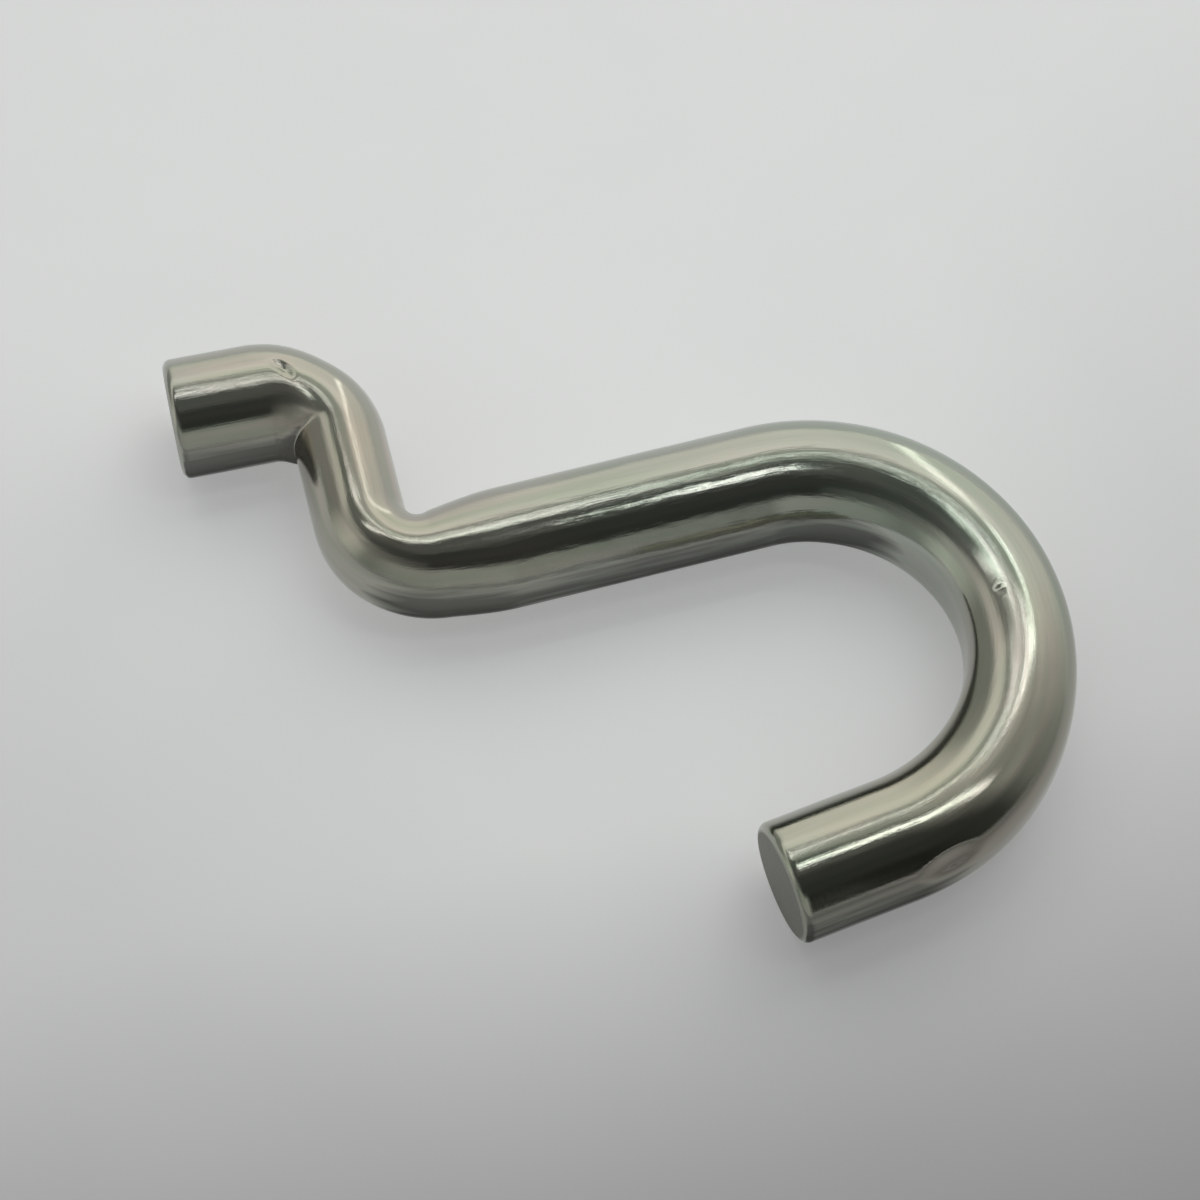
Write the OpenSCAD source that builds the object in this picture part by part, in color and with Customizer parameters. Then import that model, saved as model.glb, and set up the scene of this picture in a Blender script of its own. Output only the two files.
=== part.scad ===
// Spring hook: one length of round bar, bent cold.
// An anchor peg steps through a tight double bend onto a straight shank, and the
// shank runs into a wide hook that holds the end loop of an extension spring.
// The hook lies flat on the XY plane. +X runs along the shank towards the hook,
// +Y points to the side that the peg is stepped to, and the origin is the middle
// of the outline at the level of the floor. Millimetres and degrees.

/* [Bar] */
// Diameter of the round bar
bar_d = 6; // [5:0.5:7]
// Width of the chamfer round each cut end
end_chamfer = 0.25; // [0.1:0.05:0.5]

/* [Anchor peg and double bend] */
// Straight length of the peg, from its cut face to the first bend
peg_length = 4.7; // [3:0.1:12]
// Radius on the inside of both tight bends
joggle_inner_r = 0.2; // [0.2:0.1:4]
// Turn of the bend beside the peg
joggle_turn_peg = 88; // [60:1:95]
// Turn of the bend beside the shank
joggle_turn_shank = 91; // [60:1:95]
// Straight length between the two tight bends
joggle_leg = 4.4; // [2:0.1:12]
// Width of the bar across the double bend, where the dies squeezed it
neck_w = 4.6; // [4:0.1:5]
// Length of peg beside the bend that the dies also reached
neck_run_peg = 0.6; // [0.4:0.1:1.5]
// Length of shank beside the bend that the dies also reached
neck_run_shank = 3.3; // [1:0.1:6]

/* [Shank] */
// Straight length between the double bend and the hook
shank_length = 16; // [10:0.5:60]

/* [Hook] */
// Radius on the inside of the hook, where the spring loop sits
hook_inner_r = 6.8; // [5:0.1:14]
// Turn of the hook, from the shank round to its tip
hook_turn = 173; // [120:1:180]
// Straight length of the tip, from the end of the bend to its cut face
tip_length = 6; // [4:0.1:20]
// Depth of the flat that the bending pin pressed into the inside of the hook
seat_flat_depth = 0.5; // [0.2:0.05:0.7]
// Angle of the hook that this flat covers
seat_flat_span = 120; // [60:5:140]

/* [Die marks] */
// Depth of the dents that the bending dies left
die_mark_depth = 0.25; // [0.1:0.05:0.4]
// Length along the bar of the dent on the peg's bend
peg_mark_length = 1.8; // [1:0.1:3]
// Length along the bar of the dent on the crown of the hook
hook_mark_length = 1.6; // [1:0.1:3]
// Length along the bar of the dent at the end of the hook's bend
tip_mark_length = 2.4; // [1:0.1:3]

/* [Hidden] */
$fn = 96;

bar_r = bar_d / 2;
joggle_r = bar_r + joggle_inner_r;
hook_r = bar_r + hook_inner_r;

// The squeezed stretch is swept through rings of points, one ring per station.
ring_sides = 36;
bend_steps = 12;
straight_steps = 3;

// Neighbouring stretches of the bar are joined by a lap: the sweep and the hook's
// bend reach this far into the straight bar, this far under its surface.
lap = 0.3;
lap_skin = 0.01;

// The bending pin's cutter reaches this far past the bar, above and below.
pin_reach = 1;

// Where each dent lies: turn of the bend at its middle, and roll off the top of the
// bar. The tip's dent is placed by how far before the end of the hook's bend it lies.
peg_mark_turn = 18;
peg_mark_roll = -7;
hook_mark_turn = 84;
hook_mark_roll = 12;
tip_mark_before_end = 5;
tip_mark_turn = hook_turn - tip_mark_before_end;
tip_mark_roll = -47;

steel_tone = [0.72, 0.73, 0.69];

// --- centreline in the plane of the bends, from the start of the shank ---

function ahead(heading) = [cos(heading), sin(heading)];
function left_of(heading) = [-sin(heading), cos(heading)];

leg_heading = -joggle_turn_shank;
peg_heading = leg_heading + joggle_turn_peg;
tip_heading = -hook_turn;

shank_bend_centre = [0, joggle_r];
leg_end = shank_bend_centre - joggle_r * left_of(leg_heading);
leg_start = leg_end - joggle_leg * ahead(leg_heading);
peg_bend_centre = leg_start - joggle_r * left_of(leg_heading);
peg_end = peg_bend_centre + joggle_r * left_of(peg_heading);
peg_face = peg_end - peg_length * ahead(peg_heading);
hook_centre = [shank_length, -hook_r];
tip_start = hook_centre + hook_r * left_of(tip_heading);
tip_face = tip_start + tip_length * ahead(tip_heading);

function on_peg_bend(turn) = peg_bend_centre + joggle_r * left_of(peg_heading - turn);
function on_hook_bend(turn) = hook_centre + hook_r * left_of(-turn);

// --- the squeezed stretch: stations of [point, heading, distance along the bar] ---

peg_arc = joggle_r * joggle_turn_peg * PI / 180;
shank_arc = joggle_r * joggle_turn_shank * PI / 180;
at_peg_bend = neck_run_peg;
at_leg = at_peg_bend + peg_arc;
at_shank_bend = at_leg + joggle_leg;
at_shank = at_shank_bend + shank_arc;
neck_length = at_shank + neck_run_shank;

peg_run_start = peg_end - neck_run_peg * ahead(peg_heading);

// The first and last station lie in the laps, and no other one lies where a
// straight bar ends, so that each bar's end cuts cleanly through the sweep.
function straight_stations(start, heading, from, length, first) =
    [for (i = [first : straight_steps - 1]) let (s = length * i / straight_steps)
        [start + s * ahead(heading), heading, from + s]];

function bend_stations(centre, side, heading, turn, from, length) =
    [for (i = [0 : bend_steps - 1]) let (h = heading + turn * i / bend_steps)
        [centre - side * joggle_r * left_of(h), h, from + length * i / bend_steps]];

stations = concat(
    [[peg_run_start - lap * ahead(peg_heading), peg_heading, -lap]],
    straight_stations(peg_run_start, peg_heading, 0, neck_run_peg, 1),
    bend_stations(peg_bend_centre, -1, peg_heading, -joggle_turn_peg, at_peg_bend, peg_arc),
    straight_stations(leg_start, leg_heading, at_leg, joggle_leg, 0),
    bend_stations(shank_bend_centre, 1, leg_heading, joggle_turn_shank,
                  at_shank_bend, shank_arc),
    straight_stations([0, 0], 0, at_shank, neck_run_shank, 0),
    [[[neck_run_shank + lap, 0], 0, neck_length + lap]]
);

// Rises smoothly from 0 at a to 1 at b.
function ease(s, a, b) = let (t = min(max((s - a) / (b - a), 0), 1)) t * t * (3 - 2 * t);

// 0 on the round bar, 1 between the middles of the two tight bends.
function squeeze(s) = ease(s, 0, at_peg_bend + peg_arc / 2)
    * (1 - ease(s, at_shank_bend + shank_arc / 2, neck_length));

sweep_r = bar_r - lap_skin;
function half_width(s) = sweep_r - (bar_d - neck_w) / 2 * squeeze(s);

// --- extent of the plan outline, which puts the origin in its middle ---

function end_corners(face, out) = [
    for (side = [-1, 1]) each [
        face + side * (bar_r - end_chamfer) * left_of(out),
        face - end_chamfer * ahead(out) + side * bar_r * left_of(out)
    ]
];

outline = concat(
    end_corners(peg_face, peg_heading + 180),
    end_corners(tip_face, tip_heading),
    [for (st = stations) for (side = [-1, 1]) st[0] + side * half_width(st[2]) * left_of(st[1])],
    [for (turn = [90, 180]) if (hook_turn >= turn)
        hook_centre + (hook_r + bar_r) * left_of(-turn)]
);
outline_x = [for (p = outline) p[0]];
outline_y = [for (p = outline) p[1]];
middle = [(min(outline_x) + max(outline_x)) / 2, (min(outline_y) + max(outline_y)) / 2];

// --- pieces of the bar; each is placed by a point of the centreline and a heading ---

module place(point, heading) {
    translate([point[0], point[1], bar_r])
        rotate([0, 0, heading])
            children();
}

// Round bar whose far end is cut square and chamfered.
module cut_bar(start, heading, length) {
    place(start, heading)
        rotate([0, 90, 0])
            rotate_extrude()
                polygon([[0, 0], [bar_r, 0], [bar_r, length - end_chamfer],
                         [bar_r - end_chamfer, length], [0, length]]);
}

// Anchor peg, the round stretch before the dies' reach
module peg() {
    cut_bar(peg_run_start, peg_heading + 180, peg_length - neck_run_peg);
}

// Tight double bend, swept through an oval that narrows in the plane of the bends
module double_bend() {
    points = [for (st = stations) for (k = [0 : ring_sides - 1])
        let (a = 360 * k / ring_sides,
             across = half_width(st[2]) * cos(a) * left_of(st[1]))
        [st[0][0] + across[0], st[0][1] + across[1], bar_r + sweep_r * sin(a)]];
    last_ring = len(stations) - 1;
    walls = [for (i = [0 : last_ring - 1]) for (k = [0 : ring_sides - 1])
        let (a = i * ring_sides + k,
             b = i * ring_sides + (k + 1) % ring_sides,
             c = a + ring_sides,
             d = b + ring_sides)
        each [[a, c, b], [b, c, d]]];
    start_cap = [for (k = [0 : ring_sides - 1]) k];
    end_cap = [for (k = [ring_sides - 1 : -1 : 0]) last_ring * ring_sides + k];
    polyhedron(points, concat([start_cap], walls, [end_cap]), convexity = 6);
}

module shank() {
    place([neck_run_shank, 0], 0)
        rotate([0, 90, 0])
            cylinder(h = shank_length - neck_run_shank, r = bar_r);
}

module hook_bend() {
    lap_turn = lap / hook_r * 180 / PI;
    place(hook_centre, 90 - hook_turn - lap_turn)
        rotate_extrude(angle = hook_turn + 2 * lap_turn)
            translate([hook_r, 0])
                circle(r = bar_r - lap_skin);
}

module tip() {
    cut_bar(tip_start, tip_heading, tip_length);
}

// The bending pin's cylinder. It bites deepest at the middle of the hook and runs
// out of the bar at both ends of the flat.
module seat_flat_cutter() {
    pin_shift = seat_flat_depth / (1 - cos(seat_flat_span / 2));
    pin_centre = hook_centre + pin_shift * left_of(-hook_turn / 2);
    translate([pin_centre[0], pin_centre[1], -pin_reach])
        cylinder(h = bar_d + 2 * pin_reach, r = hook_inner_r - pin_shift * cos(seat_flat_span / 2));
}

// A ball that dents the bar over the given length, rolled round from the top.
module die_mark_cutter(point, heading, roll, length) {
    ball_r = (pow(length / 2, 2) + pow(die_mark_depth, 2)) / (2 * die_mark_depth);
    place(point, heading)
        rotate([roll, 0, 0])
            translate([0, 0, bar_r - die_mark_depth + ball_r])
                sphere(r = ball_r);
}

module spring_hook() {
    color(steel_tone)
        translate([-middle[0], -middle[1], 0])
            difference() {
                union() {
                    peg();
                    double_bend();
                    shank();
                    hook_bend();
                    tip();
                }
                seat_flat_cutter();
                die_mark_cutter(on_peg_bend(peg_mark_turn), peg_heading - peg_mark_turn,
                                peg_mark_roll, peg_mark_length);
                die_mark_cutter(on_hook_bend(hook_mark_turn), -hook_mark_turn,
                                hook_mark_roll, hook_mark_length);
                die_mark_cutter(on_hook_bend(tip_mark_turn), -tip_mark_turn,
                                tip_mark_roll, tip_mark_length);
            }
}

spring_hook();
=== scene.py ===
"""Looks of the spring hook: the finish of its bent steel bar, a pale floor and soft light.

The visual bar is swept along the same centreline as the CAD solid, from the same sizes.
On top of that shape it has what forming leaves behind: the flat that the bending pin
pressed into the hook, dents from the dies, sheared ends and a slightly wavy skin.
Lengths are in millimetres, and MM turns them into Blender's metres.
"""

import math

import bpy
import numpy as np
from mathutils import Matrix, Vector


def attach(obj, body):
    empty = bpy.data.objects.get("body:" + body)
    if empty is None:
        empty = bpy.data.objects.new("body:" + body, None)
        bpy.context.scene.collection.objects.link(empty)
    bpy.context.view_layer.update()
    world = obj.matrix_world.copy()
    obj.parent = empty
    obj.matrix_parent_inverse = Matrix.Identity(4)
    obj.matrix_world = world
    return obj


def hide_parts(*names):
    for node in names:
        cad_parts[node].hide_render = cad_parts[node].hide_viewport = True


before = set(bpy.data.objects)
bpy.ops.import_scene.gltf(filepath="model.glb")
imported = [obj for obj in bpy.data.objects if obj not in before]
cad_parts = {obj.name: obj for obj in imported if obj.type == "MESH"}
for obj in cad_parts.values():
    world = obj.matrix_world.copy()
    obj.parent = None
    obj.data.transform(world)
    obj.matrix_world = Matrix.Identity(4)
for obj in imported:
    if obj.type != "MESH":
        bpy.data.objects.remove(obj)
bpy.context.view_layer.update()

MM = 0.001
NODE = "spring_hook"

# --- sizes of the bar, the same as in the CAD source ---

BAR_R = 3.0
PEG_LENGTH = 4.7
JOGGLE_R = 3.2
TURN_AT_PEG = 88
TURN_AT_SHANK = 91
LEG_LENGTH = 4.4
NECK_WIDTH = 4.6
NECK_RUN_PEG = 0.6
NECK_RUN_SHANK = 3.3
SHANK_LENGTH = 16.0
HOOK_R = 9.8
HOOK_TURN = 173
TIP_LENGTH = 6.0
END_CHAMFER = 0.25
# The pin that pressed the flat into the hook, and how far its axis is from the hook's.
PIN_R = 6.3
PIN_SHIFT = 1.0

# --- the mesh ---

RING_SIDES = 128
STATION_STEP = 0.13
OUTLINE_SAMPLES = 4000
# The cut edges are rounded by EDGE_RINGS rings. The face's own rings stop just short of
# its middle, at CAP_REACH of the way there.
EDGE_ROUND = 0.42
EDGE_RINGS = 6
CAP_RINGS = 14
CAP_REACH = 0.995
# How softly the pin's flat and the peg's inner corner run out.
FLAT_SOFTNESS = 0.5
CORNER_SOFTNESS = 0.2
# Turn of the peg's bend in radians below which its inner corner stays as it is there.
LEAST_TURN = 0.001
# How far the creases reach along the bar, and where they begin and end on its inner side,
# as the share of the way there from its top.
CREASE_REACH = 2.8
CREASE_SIDE = (0.1, 0.8)

# Bending thins the outside of the hook. The limit on the bar there is its radius plus the
# slack, less the thinning, which the spread fades out before the bend's ends. The slack
# keeps the softened limit nearly clear of the bar where it isn't thinned.
HOOK_OUTER_THINNING = 0.45
THINNING_SPREAD = 1.35
THINNING_SLACK = 0.1
THINNING_SOFTNESS = 0.4

# --- camera, and how far its direction of view is turned from the frame's +Y ---

CAMERA_AT = (-20.61, -68.33, 152.60)
CAMERA_TARGET = (-1.53, 2.01, 0.0)
CAMERA_LENS = 103.0
SENSOR_WIDTH = 36.0
CLIP_RANGE = (0.005, 10.0)
CAMERA_TURN = 15.17


def ahead(heading):
    """Unit vectors in the plane, for headings in radians."""
    return np.stack([np.cos(heading), np.sin(heading)], axis=-1)


def left_of(heading):
    return np.stack([-np.sin(heading), np.cos(heading)], axis=-1)


def smooth_step(s, low, high):
    t = np.clip((s - low) / (high - low), 0.0, 1.0)
    return t * t * (3.0 - 2.0 * t)


def soft_min(a, b, softness):
    """The smaller of a and b, with the corner between them rounded."""
    h = np.clip(softness - np.abs(a - b), 0.0, None) / softness
    return np.minimum(a, b) - h * h * softness / 4.0


def studio_direction(azimuth, elevation):
    """Unit vector; azimuth 0 is straight behind the object in the photograph, 90 its right."""
    a, e = math.radians(azimuth + CAMERA_TURN), math.radians(elevation)
    return Vector((math.sin(a) * math.cos(e), math.cos(a) * math.cos(e), math.sin(e)))


# --- centreline ---

SEGMENTS = (
    # length, turn in degrees (anticlockwise is positive)
    (PEG_LENGTH, 0),
    (JOGGLE_R * math.radians(TURN_AT_PEG), -TURN_AT_PEG),
    (LEG_LENGTH, 0),
    (JOGGLE_R * math.radians(TURN_AT_SHANK), TURN_AT_SHANK),
    (SHANK_LENGTH, 0),
    (HOOK_R * math.radians(HOOK_TURN), -HOOK_TURN),
    (TIP_LENGTH, 0),
)
STARTS = np.concatenate([[0.0], np.cumsum([length for length, turn in SEGMENTS])])
AT_PEG_BEND, AT_LEG, AT_SHANK_BEND, AT_SHANK, AT_HOOK, AT_TIP, BAR_END = STARTS[1:]
PEG_HEADING = math.radians(TURN_AT_PEG - TURN_AT_SHANK)


def centreline(s):
    """Points and headings at the distances s from the peg's cut face, before centring."""
    points = np.zeros((len(s), 2))
    headings = np.zeros(len(s))
    point = np.zeros(2)
    heading = PEG_HEADING
    for (length, turn), start in zip(SEGMENTS, STARTS):
        here = s >= start
        run = np.clip(s[here] - start, 0.0, length)
        angle = math.radians(turn)
        if turn == 0:
            points[here] = point + run[:, None] * ahead(heading)
            headings[here] = heading
            point = point + length * ahead(heading)
            continue
        radius = length / angle
        centre = point + radius * left_of(heading)
        headings[here] = heading + run / radius
        points[here] = centre - radius * left_of(headings[here])
        heading += angle
        point = centre - radius * left_of(heading)
    return points, headings


def squeeze(s):
    """0 on the round bar, 1 between the middles of the two tight bends."""
    rise = smooth_step(s, AT_PEG_BEND - NECK_RUN_PEG, (AT_PEG_BEND + AT_LEG) / 2)
    fall = smooth_step(s, (AT_SHANK_BEND + AT_SHANK) / 2, AT_SHANK + NECK_RUN_SHANK)
    return rise * (1.0 - fall)


def half_width(s, roll=0.0):
    """Distance from the centreline to the bar's side, in the plane of the bends.

    On the inside of the peg's bend the sides of the peg and of the leg run straight on
    to the corner where they meet.
    """
    swept = BAR_R - (2 * BAR_R - NECK_WIDTH) / 2 * squeeze(s)
    turn = np.clip((s - AT_PEG_BEND) / JOGGLE_R, LEAST_TURN, math.radians(TURN_AT_PEG))
    peg_side = (JOGGLE_R - BAR_R) / np.cos(turn)
    leg_side = (JOGGLE_R - NECK_WIDTH / 2) / np.sin(turn)
    corner = JOGGLE_R - soft_min(peg_side, leg_side, CORNER_SOFTNESS)
    return np.where((roll < 0) & (s < AT_LEG), corner, swept)


def hook_angle(s):
    """Angle from the middle of the hook's bend, in radians."""
    return (s - (AT_HOOK + AT_TIP) / 2) / HOOK_R


def on_hook_bend(s):
    return np.abs(hook_angle(s)) < math.radians(HOOK_TURN) / 2


def pin_limit(s):
    """Distance from the centreline to the bending pin, on the inside of the hook."""
    angle = hook_angle(s)
    reach = PIN_SHIFT * np.cos(angle)
    reach = reach + np.sqrt(PIN_R ** 2 - (PIN_SHIFT * np.sin(angle)) ** 2)
    return np.where(on_hook_bend(s), HOOK_R - reach, 2 * BAR_R)


def outer_limit(s):
    """Most that the bar may reach from the centreline to the outside of the hook."""
    thinned = np.clip(np.cos(hook_angle(s) * THINNING_SPREAD), 0.0, None)
    thinned = np.where(on_hook_bend(s), thinned, 0.0)
    return BAR_R - HOOK_OUTER_THINNING * thinned + THINNING_SLACK


# --- what forming leaves on the skin ---

# Each dent: distance along the bar, roll from the top towards the left side in degrees,
# half length, half breadth, turn of its long axis in degrees, depth.
DENTS = (
    # on the peg's bend
    (5.75, 7, 1.0, 0.36, -42, 0.22),
    # at the end of the hook's bend
    (63.5, 60, 1.55, 0.95, 4, 0.17),
    # near the crown of the hook
    (50.35, -14.5, 0.34, 0.24, -30, 0.035),
)

# Long soft waves: wavelength along the bar, turns round it, phase.
WAVES = (
    (17.0, 1, 0.4),
    (9.3, 2, 2.1),
    (6.1, 1, 4.0),
    (3.7, 3, 1.3),
)
WAVE_DEPTH = 0.012


def dents(s, roll):
    """Depth of all dents at the distances s and rolls (radians)."""
    depth = np.zeros(np.broadcast(s, roll).shape)
    for at, at_roll, half_length, half_breadth, turn, deepest in DENTS:
        along = s - at
        across = BAR_R * (roll - math.radians(at_roll))
        turn = math.radians(turn)
        on_length = (along * math.cos(turn) + across * math.sin(turn)) / half_length
        on_breadth = (across * math.cos(turn) - along * math.sin(turn)) / half_breadth
        inside = np.clip(1.0 - (on_length ** 2 + on_breadth ** 2), 0.0, None)
        depth += deepest * inside ** 2
    return depth


def waves(s, roll):
    total = np.zeros(np.broadcast(s, roll).shape)
    for length, turns, phase in WAVES:
        total += np.sin(2 * math.pi * s / length + turns * roll + phase)
    return WAVE_DEPTH * (1.0 + total / len(WAVES)) / 2


def creases(s, roll):
    """How far the inner sides of the two tight bends are upset, from 0 to 1."""
    total = np.zeros(np.broadcast(s, roll).shape)
    for start, end, side in ((AT_PEG_BEND, AT_LEG, -1), (AT_SHANK_BEND, AT_SHANK, 1)):
        near = np.exp(-(((s - (start + end) / 2) / CREASE_REACH) ** 2))
        total += near * smooth_step(side * np.sin(roll), *CREASE_SIDE)
    return total


def skin(s, inset):
    """Rings of points round the bar at the distances s, shrunk inwards by inset."""
    points, headings = centreline(s)
    roll = np.linspace(-math.pi, math.pi, RING_SIDES, endpoint=False)[None, :]
    along = s[:, None]
    depth = dents(along, roll) + waves(along, roll) + inset[:, None]
    across = np.sin(roll) * (half_width(along, roll) - depth)
    across = soft_min(across, outer_limit(along), THINNING_SOFTNESS)
    across = -soft_min(-across, pin_limit(along), FLAT_SOFTNESS)
    plane = points[:, None, :] + across[..., None] * left_of(headings)[:, None, :]
    height = BAR_R + np.cos(roll) * (BAR_R - depth)
    return np.concatenate([plane, height[..., None]], axis=-1), roll


def rounded_end(at, out):
    """Distances and insets of the rings that round a cut edge over to the face."""
    angle = np.linspace(0.0, math.pi / 2, EDGE_RINGS + 1)[1:]
    s = at - out * EDGE_ROUND * (1.0 - np.sin(angle))
    return s, EDGE_ROUND * (1.0 - np.cos(angle))


def cap(at, inset):
    """Distances and insets of the rings across a cut face, down to its middle."""
    share = np.linspace(0.0, 1.0, CAP_RINGS + 1)[1:]
    return np.full(CAP_RINGS, at), inset + (BAR_R - inset) * share * CAP_REACH


def stations():
    """Distance and inset of every ring, from the middle of one face to the other."""
    edge_s, edge_inset = rounded_end(0.0, -1)
    cap_s, cap_inset = cap(0.0, EDGE_ROUND)
    count = int(round((BAR_END - 2 * EDGE_ROUND) / STATION_STEP))
    wall = np.linspace(EDGE_ROUND, BAR_END - EDGE_ROUND, count + 1)
    start_s = np.concatenate([cap_s[::-1], edge_s[::-1]])
    start_inset = np.concatenate([cap_inset[::-1], edge_inset[::-1]])
    s = np.concatenate([start_s, wall, BAR_END - start_s[::-1]])
    inset = np.concatenate([start_inset, np.zeros(count + 1), start_inset[::-1]])
    return s, inset


def plan_offset():
    """Moves the swept bar so that the middle of its undented outline is the origin."""
    s = np.linspace(0.0, BAR_END, OUTLINE_SAMPLES)
    points, headings = centreline(s)
    at_end = np.minimum(s, BAR_END - s) < END_CHAMFER
    width = np.where(at_end, BAR_R - END_CHAMFER, half_width(s))
    sides = width[:, None] * left_of(headings)
    outline = np.concatenate([points - sides, points + sides])
    return -(outline.min(axis=0) + outline.max(axis=0)) / 2


def bar_faces(count):
    """Quads between the rings, and one polygon in the middle of each cut face."""
    i = np.arange(count - 1)[:, None] * RING_SIDES
    k = np.arange(RING_SIDES)[None, :]
    k_next = (k + 1) % RING_SIDES
    quads = np.stack([i + k, i + k_next, i + RING_SIDES + k_next, i + RING_SIDES + k], -1)
    faces = [tuple(q) for q in quads.reshape(-1, 4)]
    faces.append(tuple(range(RING_SIDES))[::-1])
    faces.append(tuple(range((count - 1) * RING_SIDES, count * RING_SIDES)))
    return faces


def add_attribute(mesh, name, kind, field, values):
    attribute = mesh.attributes.new(name, kind, "POINT")
    attribute.data.foreach_set(field, values.reshape(-1).astype(np.float32))


def make_bar():
    s, inset = stations()
    rings, roll = skin(s, inset)
    rings[..., :2] += plan_offset()
    mesh = bpy.data.meshes.new("hook_bar")
    mesh.from_pydata((rings.reshape(-1, 3) * MM).tolist(), [], bar_faces(len(s)))
    mesh.validate()
    mesh.shade_smooth()

    # The material's marks follow the bar, so they use its points as they were before bending.
    radius = BAR_R - inset[:, None]
    straight = np.stack([
        np.broadcast_to(s[:, None], rings.shape[:2]),
        np.sin(roll) * radius,
        np.cos(roll) * radius,
    ], -1)
    add_attribute(mesh, "bar", "FLOAT_VECTOR", "vector", straight)
    face = smooth_step(inset, EDGE_ROUND / 2, EDGE_ROUND)
    face = np.broadcast_to(face[:, None], rings.shape[:2])
    add_attribute(mesh, "cut_face", "FLOAT", "value", face)
    add_attribute(mesh, "crease", "FLOAT", "value", creases(s[:, None], roll))

    bar = bpy.data.objects.new("hook_bar", mesh)
    bpy.context.scene.collection.objects.link(bar)
    return bar


# --- node helpers ---

class Nodes:
    """Short calls for building a node tree."""

    def __init__(self, tree):
        self.tree = tree
        tree.nodes.clear()

    def add(self, kind, inputs=(), **settings):
        node = self.tree.nodes.new(kind)
        for name, value in settings.items():
            setattr(node, name, value)
        for name, value in dict(inputs).items():
            self.feed(node.inputs[name], value)
        return node

    def feed(self, socket, value):
        """Links a socket's input to another node, or sets its constant."""
        if isinstance(value, bpy.types.NodeSocket):
            self.tree.links.new(value, socket)
        else:
            socket.default_value = value

    def math(self, operation, a, b=0.0):
        node = self.add("ShaderNodeMath", {0: a, 1: b}, operation=operation)
        return node.outputs[0]

    def vector_math(self, operation, a, b):
        return self.add("ShaderNodeVectorMath", {0: a, 1: b}, operation=operation)

    def attribute(self, name):
        return self.add("ShaderNodeAttribute", attribute_name=name)

    def ramp(self, factor, stops):
        node = self.add("ShaderNodeValToRGB", {"Fac": factor})
        elements = node.color_ramp.elements
        while len(elements) < len(stops):
            elements.new(0.5)
        for element, (position, colour) in zip(elements, stops):
            element.position = position
            element.color = (*colour, 1.0)
        return node.outputs["Color"]

    def blend(self, factor, a, b):
        """Mix of two colours, whose sockets the mix node keeps at 6 and 7."""
        node = self.tree.nodes.new("ShaderNodeMix")
        node.data_type = "RGBA"
        for index, value in ((0, factor), (6, a), (7, b)):
            self.feed(node.inputs[index], value)
        return node.outputs[2]

    def noise(self, vector, scale, detail=3.0, roughness=0.5):
        """Noise whose scale differs from axis to axis."""
        placed = self.vector_math("MULTIPLY", vector, scale)
        node = self.add("ShaderNodeTexNoise", {
            "Vector": placed.outputs[0],
            "Scale": 1.0,
            "Detail": detail,
            "Roughness": roughness,
        })
        return node.outputs["Fac"]

    def remap(self, value, low, high, to_low, to_high):
        node = self.add("ShaderNodeMapRange", {
            "Value": value,
            "From Min": low,
            "From Max": high,
            "To Min": to_low,
            "To Max": to_high,
        })
        return node.outputs["Result"]

    def bump(self, strength, depth, height, under=None):
        """A bump of the given depth in millimetres, on top of another one or none."""
        node = self.add("ShaderNodeBump", {
            "Strength": strength,
            "Distance": depth * MM,
            "Height": height,
        })
        if under is not None:
            self.feed(node.inputs["Normal"], under)
        return node.outputs["Normal"]


# --- the bar's finish ---

# Noise on the bar: its scale along the bar and across it, per millimetre.
STREAKS = {"scale": (0.10, 1.6, 1.6), "detail": 4.0}
CLOUD = {"scale": (0.16, 0.35, 0.35)}
LINES = {"scale": (0.35, 14.0, 14.0), "detail": 2.0, "roughness": 0.6}
GRAIN = {"scale": (6.0, 11.0, 11.0), "detail": 4.0, "roughness": 0.7}
RIPPLE = {"scale": (0.75, 3.2, 3.2), "detail": 1.0}
# Most of the noise's values lie in this range.
NOISE_SPREAD = (0.3, 0.7)

# Colour of the plating, by the streaks along the bar.
PLATING = (
    (0.30, (0.365, 0.390, 0.345)),
    (0.50, (0.405, 0.405, 0.378)),
    (0.70, (0.455, 0.425, 0.410)),
)
# Tint of the passivated zinc along the bar, from the peg's face to the tip's, and how far
# the cloud shifts it along, as a share of the bar's length.
PASSIVATION = (
    (0.00, (1.00, 1.02, 0.98)),
    (0.17, (1.06, 1.00, 0.93)),
    (0.40, (0.98, 1.01, 0.97)),
    (0.62, (0.95, 1.03, 0.97)),
    (0.86, (1.05, 1.00, 0.92)),
    (1.00, (0.98, 1.01, 0.93)),
)
PASSIVATION_WANDER = 0.06
# Brown stains where the cloud is dense.
STAIN_COLOUR = (0.380, 0.355, 0.325, 1.0)
STAIN_SPREAD = (0.56, 0.74)
STAIN_STRENGTH = 0.45
# Painted shade: where the bar faces the near side of the studio (towards the camera) squarely,
# its colour and edge tint are darkened and dulled. This stands in for the dark reflection of
# the shaded floor beside it, and the streaks fray the edge of that part.
FLANK_SHADE_FACING = (0.84, 0.95)
FLANK_SHADE_WANDER = 0.05
FLANK_SHADE_STRENGTH = 0.84
FLANK_SHADE_COLOUR = (0.10, 0.10, 0.095, 1.0)
FLANK_SHADE_SPECULAR_TINT = (0.35, 0.35, 0.35, 1.0)
PLAIN_SPECULAR_TINT = (1.0, 1.0, 1.0, 1.0)
# Colour of the sheared faces, by the grain.
SHEARED = (
    (0.30, (0.175, 0.170, 0.155)),
    (0.70, (0.300, 0.290, 0.270)),
)

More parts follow.
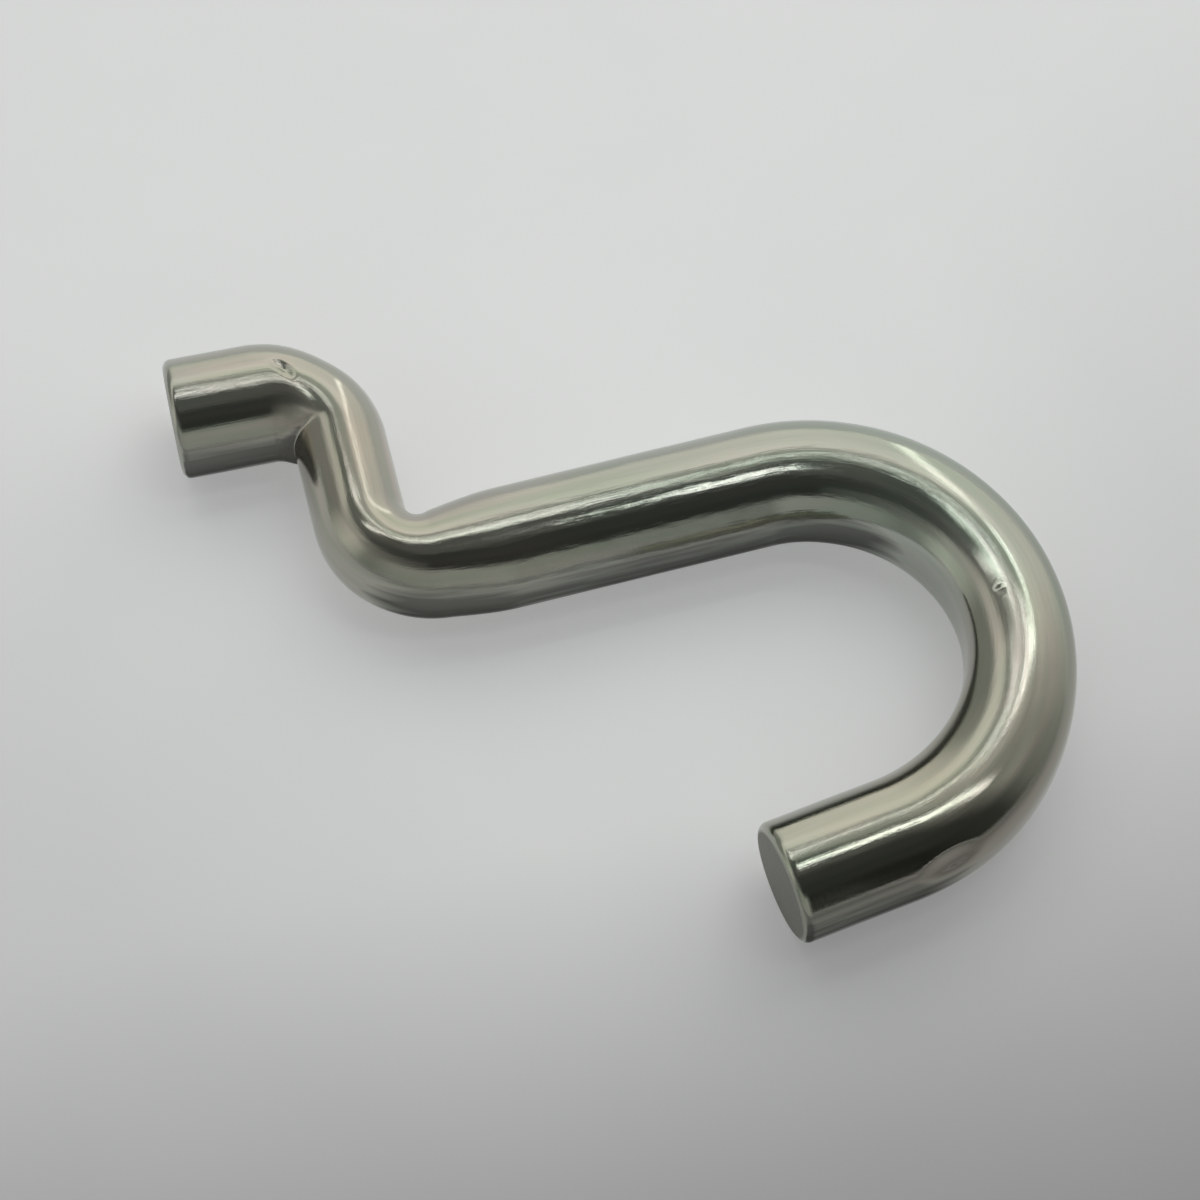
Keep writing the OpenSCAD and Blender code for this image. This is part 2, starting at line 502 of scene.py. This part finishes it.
# Roughness of the plating by the streaks, what the cloud, the lines and the creases add to
# it, and the roughness of the sheared faces.
POLISH = (0.055, 0.095)
CLOUD_SPREAD = (0.5, 0.75)
CLOUD_ROUGHNESS = 0.08
LINES_SPREAD = (0.35, 0.65)
LINES_ROUGHNESS = (-0.02, 0.03)
CREASE_ROUGHNESS = 0.18
SHEARED_ROUGHNESS = 0.52

# Strength of the rolls' chatter, from the peg's face to the tip's: it shows most on the
# straight shank.
CHATTER = (
    (0.00, (0.30,) * 3),
    (0.27, (0.50,) * 3),
    (0.36, (1.00,) * 3),
    (0.56, (0.90,) * 3),
    (0.66, (0.35,) * 3),
    (0.88, (0.12,) * 3),
)
CHATTER_DEPTH = 0.012
LINES_STRENGTH = 0.16
LINES_DEPTH = 0.02
# Strength of the pits on the plating and on the sheared faces.
PITS_STRENGTH = (0.10, 0.8)
PITS_DEPTH = 0.03


def painted_flank_shade(n, streaks):
    """How much painted shade darkens and dulls the bar where it faces the studio's near side.
    """
    near_side = -studio_direction(0, 0)
    normal = n.add("ShaderNodeNewGeometry").outputs["Normal"]
    facing = n.vector_math("DOT_PRODUCT", normal, near_side).outputs["Value"]
    frayed = n.math("ADD", facing, n.remap(streaks, *NOISE_SPREAD, -FLANK_SHADE_WANDER, FLANK_SHADE_WANDER))
    return n.remap(frayed, *FLANK_SHADE_FACING, 0.0, FLANK_SHADE_STRENGTH)


def plating_colour_and_shade(n, along, streaks, cloud, flank_shade):
    wander = n.remap(cloud, *NOISE_SPREAD, -PASSIVATION_WANDER, PASSIVATION_WANDER)
    passivation = n.ramp(n.math("ADD", along, wander), PASSIVATION)
    tinted = n.vector_math("MULTIPLY", n.ramp(streaks, PLATING), passivation).outputs[0]
    stain = n.remap(cloud, *STAIN_SPREAD, 0.0, STAIN_STRENGTH)
    stained = n.blend(stain, tinted, STAIN_COLOUR)
    # Painted shade: the part facing the near side is blended towards a dark colour.
    return n.blend(flank_shade, stained, FLANK_SHADE_COLOUR)


def plating_roughness(n, streaks, cloud, lines, crease):
    extras = (
        n.remap(cloud, *CLOUD_SPREAD, 0.0, CLOUD_ROUGHNESS),
        n.remap(lines, *LINES_SPREAD, *LINES_ROUGHNESS),
        n.math("MULTIPLY", crease, CREASE_ROUGHNESS),
    )
    roughness = n.remap(streaks, *NOISE_SPREAD, *POLISH)
    for extra in extras:
        roughness = n.math("ADD", roughness, extra)
    return roughness


def skin_normal(n, bar, along, lines, grain, crease, face):
    """The skin's small relief, which the creases smooth out."""
    even = n.math("SUBTRACT", 1.0, crease)
    chatter = n.math("MULTIPLY", n.ramp(along, CHATTER), even)
    rippled = n.bump(chatter, CHATTER_DEPTH, n.noise(bar, **RIPPLE))
    drawn = n.bump(n.math("MULTIPLY", even, LINES_STRENGTH), LINES_DEPTH, lines, rippled)
    pits = n.math("MULTIPLY", even, n.remap(face, 0.0, 1.0, *PITS_STRENGTH))
    return n.bump(pits, PITS_DEPTH, grain, drawn)


def steel():
    material = bpy.data.materials.new("plated_steel")
    material.use_nodes = True
    n = Nodes(material.node_tree)
    bar = n.attribute("bar").outputs["Vector"]
    face = n.attribute("cut_face").outputs["Fac"]
    crease = n.attribute("crease").outputs["Fac"]
    distance = n.add("ShaderNodeSeparateXYZ", {0: bar}).outputs["X"]
    along = n.remap(distance, 0.0, BAR_END, 0.0, 1.0)
    streaks = n.noise(bar, **STREAKS)
    cloud = n.noise(bar, **CLOUD)
    lines = n.noise(bar, **LINES)
    grain = n.noise(bar, **GRAIN)

    # Painted shade on the side facing the near side, which darkens its colour and edge tint.
    flank_shade = painted_flank_shade(n, streaks)
    colour = plating_colour_and_shade(n, along, streaks, cloud, flank_shade)
    roughness = n.add("ShaderNodeMix", {
        0: face,
        2: plating_roughness(n, streaks, cloud, lines, crease),
        3: SHEARED_ROUGHNESS,
    }, data_type="FLOAT")
    shader = n.add("ShaderNodeBsdfPrincipled", {
        "Base Color": n.blend(face, colour, n.ramp(grain, SHEARED)),
        "Metallic": 1.0,
        "Roughness": roughness.outputs[0],
        # The painted shade also lowers the edge tint there.
        "Specular Tint": n.blend(flank_shade, PLAIN_SPECULAR_TINT, FLANK_SHADE_SPECULAR_TINT),
        "Normal": skin_normal(n, bar, along, lines, grain, crease, face),
    })
    n.add("ShaderNodeOutputMaterial", {"Surface": shader.outputs[0]})
    return material


# --- floor, studio and camera ---

FLOOR_HALF = 1500.0
PAPER_ROUGHNESS = 0.55
# Tones of the paper by its mottle, whose scale is per metre.
PAPER_MOTTLE = {"scale": (90.0, 90.0, 90.0), "detail": 2.0}
PAPER_TONES = (
    (0.3, (0.800, 0.812, 0.858)),
    (0.7, (0.825, 0.836, 0.882)),
)
# Painted shade on the paper, darkest in a band in front of the object and lighter behind it: by
# distance behind the origin, towards an azimuth, and by distance from the origin all round,
# darkening outwards.
PAPER_FALL_TOWARDS = -14
PAPER_FALL = (
    (-150, 0.82), (-90, 0.66), (-60, 0.46), (-44, 0.325), (-29, 0.54), (-10, 0.90),
    (0, 0.955), (29, 1.18), (45, 1.22), (150, 1.10),
)
PAPER_EDGE = ((0, 1.06), (12, 1.05), (28, 0.90), (45, 0.84))
# Light that the paper adds of its own, seen by the camera and in reflections only.
PAPER_GLOW = 0.24


def grey_stops(values, start, end):
    """Stops of a grey ramp for (place, value) pairs that run from start to end."""
    return [((at - start) / (end - start), (value,) * 3) for at, value in values]


def paper_shade(n, position):
    back = studio_direction(PAPER_FALL_TOWARDS, 0)
    reach = PAPER_FALL[-1][0]
    behind = n.vector_math("DOT_PRODUCT", position, back).outputs["Value"]
    behind = n.remap(behind, -reach * MM, reach * MM, 0.0, 1.0)
    fall = n.ramp(behind, grey_stops(PAPER_FALL, -reach, reach))
    edge_reach = PAPER_EDGE[-1][0]
    distance = n.add("ShaderNodeVectorMath", {0: position}, operation="LENGTH").outputs["Value"]
    distance = n.remap(distance, 0.0, edge_reach * MM, 0.0, 1.0)
    edge = n.ramp(distance, grey_stops(PAPER_EDGE, 0, edge_reach))
    return n.math("MULTIPLY", fall, edge)


def paper():
    material = bpy.data.materials.new("paper")
    material.use_nodes = True
    n = Nodes(material.node_tree)
    position = n.add("ShaderNodeNewGeometry").outputs["Position"]
    grey = n.ramp(n.noise(position, **PAPER_MOTTLE), PAPER_TONES)
    # Painted shade on the paper, which darkens its colour and its glow alike.
    shade = paper_shade(n, position)
    path = n.add("ShaderNodeLightPath")
    seen = n.math("MAXIMUM", path.outputs["Is Camera Ray"], path.outputs["Is Glossy Ray"])
    seen = n.math("MAXIMUM", seen, path.outputs["Is Transmission Ray"])
    shader = n.add("ShaderNodeBsdfPrincipled", {
        "Base Color": n.blend(shade, (0.0, 0.0, 0.0, 1.0), grey),
        "Roughness": PAPER_ROUGHNESS,
        "Emission Color": (1.0, 1.0, 1.0, 1.0),
        "Emission Strength": n.math("MULTIPLY", seen, n.math("MULTIPLY", shade, PAPER_GLOW)),
    })
    n.add("ShaderNodeOutputMaterial", {"Surface": shader.outputs[0]})
    return material


def make_floor():
    mesh = bpy.data.meshes.new("floor")
    half = FLOOR_HALF * MM
    corners = [(-half, -half, 0.0), (half, -half, 0.0), (half, half, 0.0), (-half, half, 0.0)]
    mesh.from_pydata(corners, [], [(0, 1, 2, 3)])
    mesh.materials.append(paper())
    floor = bpy.data.objects.new("floor", mesh)
    bpy.context.scene.collection.objects.link(floor)


# The room round the object: rings of (azimuth, radiance) at three heights, and one radiance
# overhead. Each ring blends into the next one between two elevations.
LOW_RING = (
    (-180, 0.42), (-150, 0.40), (-134, 0.30), (-126, 0.34), (-116, 0.62), (-106, 0.76),
    (-92, 0.60), (-78, 0.32), (-45, 0.32), (-30, 0.42), (-20, 0.80), (-10, 1.05),
    (0, 1.12), (35, 1.00), (50, 0.92), (64, 0.64), (85, 0.36), (100, 0.25),
    (114, 0.06), (146, 0.02), (154, 0.30), (162, 0.45), (180, 0.42),
)
MIDDLE_RING = (
    (-180, 0.09), (-130, 0.22), (-116, 0.30), (-108, 0.52), (-85, 0.56), (-68, 0.78),
    (-50, 0.95), (-30, 1.06), (-10, 1.20), (30, 1.20), (50, 0.98), (62, 0.66),
    (75, 0.44), (98, 0.42), (108, 0.18), (118, 0.05), (180, 0.05),
)
HIGH_RING = (
    (-180, 0.06), (-120, 0.10), (-98, 0.14), (-84, 0.20), (-60, 0.22), (-35, 0.24),
    (-22, 0.44), (-12, 0.54), (14, 0.56), (23, 0.60), (40, 0.70), (60, 0.42),
    (95, 0.32), (108, 0.18), (122, 0.06), (180, 0.06),
)
ZENITH = 0.14
LOW_TO_MIDDLE = (29, 40)
MIDDLE_TO_HIGH = (49, 55)
HIGH_TO_ZENITH = (70, 77)
# Tint of the room's bright and dark parts.
BRIGHT_TINT = (1.0, 0.985, 0.90, 1.0)
DARK_TINT = (0.97, 1.04, 0.96, 1.0)


def make_room():
    world = bpy.data.worlds.new("room")
    bpy.context.scene.world = world
    world.use_nodes = True
    n = Nodes(world.node_tree)
    direction = n.add("ShaderNodeTexCoord").outputs["Generated"]
    height = n.add("ShaderNodeSeparateXYZ", {0: direction}).outputs["Z"]
    elevation = n.math("DEGREES", n.math("ARCSINE", height))
    right, back = [
        n.vector_math("DOT_PRODUCT", direction, studio_direction(azimuth, 0)).outputs["Value"]
        for azimuth in (90, 0)
    ]
    azimuth = n.math("DEGREES", n.math("ARCTAN2", right, back))
    turn = n.remap(azimuth, -180, 180, 0.0, 1.0)
    low, middle, high = [
        n.ramp(turn, grey_stops(ring, -180, 180)) for ring in (LOW_RING, MIDDLE_RING, HIGH_RING)
    ]
    light = low
    for ring, (start, end) in (
        (middle, LOW_TO_MIDDLE),
        (high, MIDDLE_TO_HIGH),
        ((*(ZENITH,) * 3, 1.0), HIGH_TO_ZENITH),
    ):
        rise = n.add("ShaderNodeMapRange", {
            "Value": elevation, "From Min": start, "From Max": end,
        }, interpolation_type="SMOOTHSTEP")
        light = n.blend(rise.outputs["Result"], light, ring)
    colour = n.vector_math("MULTIPLY", light, n.blend(light, DARK_TINT, BRIGHT_TINT))
    shader = n.add("ShaderNodeBackground", {"Color": colour.outputs[0], "Strength": 1.0})
    n.add("ShaderNodeOutputWorld", {"Surface": shader.outputs[0]})


# Strip lamps, whose images are the highlights along the bar. Each has a name, the studio
# directions (azimuth, elevation) of its two ends, its width in millimetres, its radiance
# and its colour.
LAMP_DISTANCE = 300.0
TUBE_COLOUR = (0.97, 1.0, 0.98)
WINDOW_COLOUR = (1.0, 0.99, 0.93)
LAMPS = (
    ("tube_left", (-35, 76), (5, 71), 8, 2.8, TUBE_COLOUR),
    ("spur", (-68, 64), (5, 68), 10, 3.2, TUBE_COLOUR),
    ("tube_middle", (-34, 60), (20, 62), 9, 2.3, TUBE_COLOUR),
    ("bridge", (33, 47), (46, 54), 16, 2.8, TUBE_COLOUR),
    ("tube_right", (24, 66), (47, 55), 11, 4.2, TUBE_COLOUR),
    ("ceiling", (80, 83), (82, 70), 28, 3.2, TUBE_COLOUR),
    ("ceiling_right", (82, 70), (96, 57), 18, 2.8, TUBE_COLOUR),
    ("window", (19, 6), (29, 46), 18, 1.2, WINDOW_COLOUR),
)


def make_lamp(name, start, end, width, radiance, colour):
    a = studio_direction(*start) * LAMP_DISTANCE * MM
    b = studio_direction(*end) * LAMP_DISTANCE * MM
    middle = (a + b) / 2
    long_axis = (b - a).normalized()
    away = middle.normalized()
    away = (away - long_axis * away.dot(long_axis)).normalized()
    light = bpy.data.lights.new(name, "AREA")
    light.shape = "RECTANGLE"
    light.size = (b - a).length
    light.size_y = width * MM
    light.energy = radiance * math.pi * light.size * light.size_y
    light.color = colour
    lamp = bpy.data.objects.new(name, light)
    turned = Matrix((long_axis, away.cross(long_axis), away)).transposed()
    lamp.matrix_world = Matrix.Translation(middle) @ turned.to_4x4()
    bpy.context.scene.collection.objects.link(lamp)


def make_camera():
    data = bpy.data.cameras.new("camera")
    data.lens = CAMERA_LENS
    data.sensor_width = SENSOR_WIDTH
    data.clip_start, data.clip_end = CLIP_RANGE
    camera = bpy.data.objects.new("camera", data)
    at = Vector(CAMERA_AT) * MM
    look = Vector(CAMERA_TARGET) * MM - at
    turned = look.to_track_quat("-Z", "Y").to_matrix()
    camera.matrix_world = Matrix.Translation(at) @ turned.to_4x4()
    bpy.context.scene.collection.objects.link(camera)
    bpy.context.scene.camera = camera


bar = make_bar()
bar.data.materials.append(steel())
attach(bar, "root")
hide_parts(NODE)

make_floor()
make_room()
for lamp in LAMPS:
    make_lamp(*lamp)
make_camera()
bpy.context.scene.view_settings.view_transform = "Standard"
